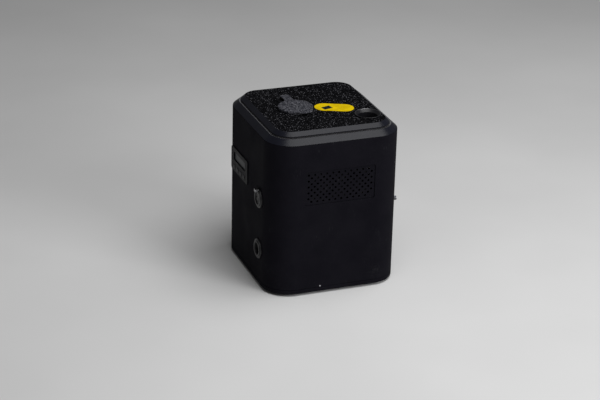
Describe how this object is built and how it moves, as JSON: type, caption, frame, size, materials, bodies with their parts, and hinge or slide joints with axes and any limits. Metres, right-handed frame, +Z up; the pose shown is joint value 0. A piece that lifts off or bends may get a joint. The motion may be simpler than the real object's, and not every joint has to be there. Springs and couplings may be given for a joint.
{
  "type": "cold spark machine",
  "caption": "Tower-shaped stage effect machine that feeds metal granules through a heated barrel and blows them out of its top as a fountain of sparks.",
  "frame": {"origin": "middle of the footprint, on the surface under the feet", "axes": "+Z up, -Y out of the front with the grille, +X to the right seen from the front"},
  "size_m": [0.2146, 0.208, 0.2525],
  "materials": {
    "black_paint": "matt fine-textured black powder coat on sheet aluminium",
    "grit_paint": "coarse gritty black coat",
    "seal_rubber": "matt",
    "bright_rim": "turned, bright",
    "collar_metal": "dark anodised",
    "cap_rubber": "dusty mid-grey silicone rubber",
    "foot_rubber": "matt black",
    "chassis_steel": "zinc plated",
    "feed_metal": "machined",
    "screw_steel": "ground",
    "gear_plastic": "moulded, natural white",
    "pinion_brass": "machined",
    "motor_steel": "plain",
    "heater_ceramic": "fired ceramic fibre, unglazed",
    "coil_copper": "bare copper wire",
    "fan_plastic": "black glass-filled",
    "impeller_plastic": "grey glass-filled",
    "duct_metal": "cast",
    "supply_case": "plain sheet",
    "board_laminate": "green solder mask",
    "socket_metal": "black nickel, satin",
    "latch_nickel": "satin nickel",
    "insert_plastic": "moulded black",
    "power_in_plastic": "moulded blue",
    "power_out_plastic": "moulded light grey",
    "bezel_plastic": "smooth black",
    "menu_glass": "dark tinted",
    "button_plastic": "moulded grey",
    "switch_plastic": "smooth black",
    "fuse_plastic": "moulded black",
    "aerial_nickel": "nickel-plated thread"
  },
  "bodies": {
    "housing": {"base_plate": "black_paint", "body_shell": "black_paint", "top_frame": "black_paint", "front_grille": "black_paint", "top_lid": "grit_paint", "top_seal": "seal_rubber", "nozzle_rim": "bright_rim", "feed_collar": "collar_metal", "foot_1": "foot_rubber", "foot_2": "foot_rubber", "foot_3": "foot_rubber", "foot_4": "foot_rubber", "deck_post_1": "chassis_steel", "deck_post_2": "chassis_steel", "deck_post_3": "chassis_steel", "deck_post_4": "chassis_steel", "inner_deck": "chassis_steel", "feed_bracket": "chassis_steel", "hopper": "feed_metal", "feed_barrel": "feed_metal", "spark_tube": "screw_steel", "feed_motor": "motor_steel", "heater_jacket": "heater_ceramic", "heater_coil": "coil_copper", "fan_frame_left": "fan_plastic", "fan_frame_right": "fan_plastic", "blower_housing": "fan_plastic", "blower_cover": "fan_plastic", "air_duct": "duct_metal", "power_supply": "supply_case", "control_board": "board_laminate", "driver_board": "board_laminate", "menu_board": "board_laminate", "data_out_shell": "socket_metal", "data_in_shell": "socket_metal", "data_out_insert": "insert_plastic", "data_in_insert": "insert_plastic", "power_in_socket": "power_in_plastic", "power_out_socket": "power_out_plastic", "menu_bezel": "bezel_plastic", "menu_window": "menu_glass", "switch_frame": "switch_plastic", "fuse_holder": "fuse_plastic", "aerial_socket": "aerial_nickel"},
    "feed_cap": {"feed_cap": "cap_rubber"},
    "feed_screw": {"feed_screw": "screw_steel", "screw_gear": "gear_plastic"},
    "motor_shaft": {"motor_pinion": "pinion_brass"},
    "blower_impeller": {"blower_impeller": "impeller_plastic"},
    "fan_rotor_left": {"fan_rotor_left": "fan_plastic"},
    "fan_rotor_right": {"fan_rotor_right": "fan_plastic"},
    "data_latch": {"data_out_latch": "latch_nickel"},
    "switch_rocker": {"switch_rocker": "switch_plastic"},
    "fuse_cap": {"fuse_cap": "fuse_plastic"},
    "menu_button_1": {"menu_button_1": "button_plastic"},
    "menu_button_2": {"menu_button_2": "button_plastic"},
    "menu_button_3": {"menu_button_3": "button_plastic"},
    "menu_button_4": {"menu_button_4": "button_plastic"}
  },
  "joints": [
    {"name": "feed_cap_lift", "type": "slide", "parent": "housing", "child": "feed_cap", "axis": [0, 0, 1], "range_m": [0, 0.06]},
    {"name": "screw_spin", "type": "hinge", "parent": "housing", "child": "feed_screw", "pos_m": [-0.03, -0.003, 0.15562], "axis": [0.8826, -0.4701, 0], "continuous": true},
    {"name": "motor_spin", "type": "hinge", "parent": "housing", "child": "motor_shaft", "pos_m": [-0.03, -0.003, 0.12412], "axis": [0.8826, -0.4701, 0], "continuous": true},
    {"name": "blower_spin", "type": "hinge", "parent": "housing", "child": "blower_impeller", "pos_m": [0.034, 0.0173, 0.024], "axis": [0, 0, 1], "continuous": true},
    {"name": "fan_left_spin", "type": "hinge", "parent": "housing", "child": "fan_rotor_left", "pos_m": [-0.0195, -0.095, 0.1655], "axis": [0, 1, 0], "continuous": true},
    {"name": "fan_right_spin", "type": "hinge", "parent": "housing", "child": "fan_rotor_right", "pos_m": [0.0245, -0.095, 0.1655], "axis": [0, 1, 0], "continuous": true},
    {"name": "data_latch_press", "type": "slide", "parent": "housing", "child": "data_latch", "axis": [1, 0, 0], "range_m": [0, 0.001], "stiffness_N_per_m": 400},
    {"name": "switch_rock", "type": "hinge", "parent": "housing", "child": "switch_rocker", "pos_m": [0.098, 0.012, 0.058], "axis": [0, 1, 0], "range_deg": [-14, 0]},
    {"name": "fuse_cap_pull", "type": "slide", "parent": "housing", "child": "fuse_cap", "axis": [1, 0, 0], "range_m": [0, 0.02]},
    {"name": "menu_button_1_press", "type": "slide", "parent": "housing", "child": "menu_button_1", "axis": [1, 0, 0], "range_m": [0, 0.0008], "stiffness_N_per_m": 300},
    {"name": "menu_button_2_press", "type": "slide", "parent": "housing", "child": "menu_button_2", "axis": [1, 0, 0], "range_m": [0, 0.0008], "stiffness_N_per_m": 300},
    {"name": "menu_button_3_press", "type": "slide", "parent": "housing", "child": "menu_button_3", "axis": [1, 0, 0], "range_m": [0, 0.0008], "stiffness_N_per_m": 300},
    {"name": "menu_button_4_press", "type": "slide", "parent": "housing", "child": "menu_button_4", "axis": [1, 0, 0], "range_m": [0, 0.0008], "stiffness_N_per_m": 300}
  ],
  "couplings": [
    {"joint": "motor_spin", "follows": "screw_spin", "ratio": -2}
  ]
}
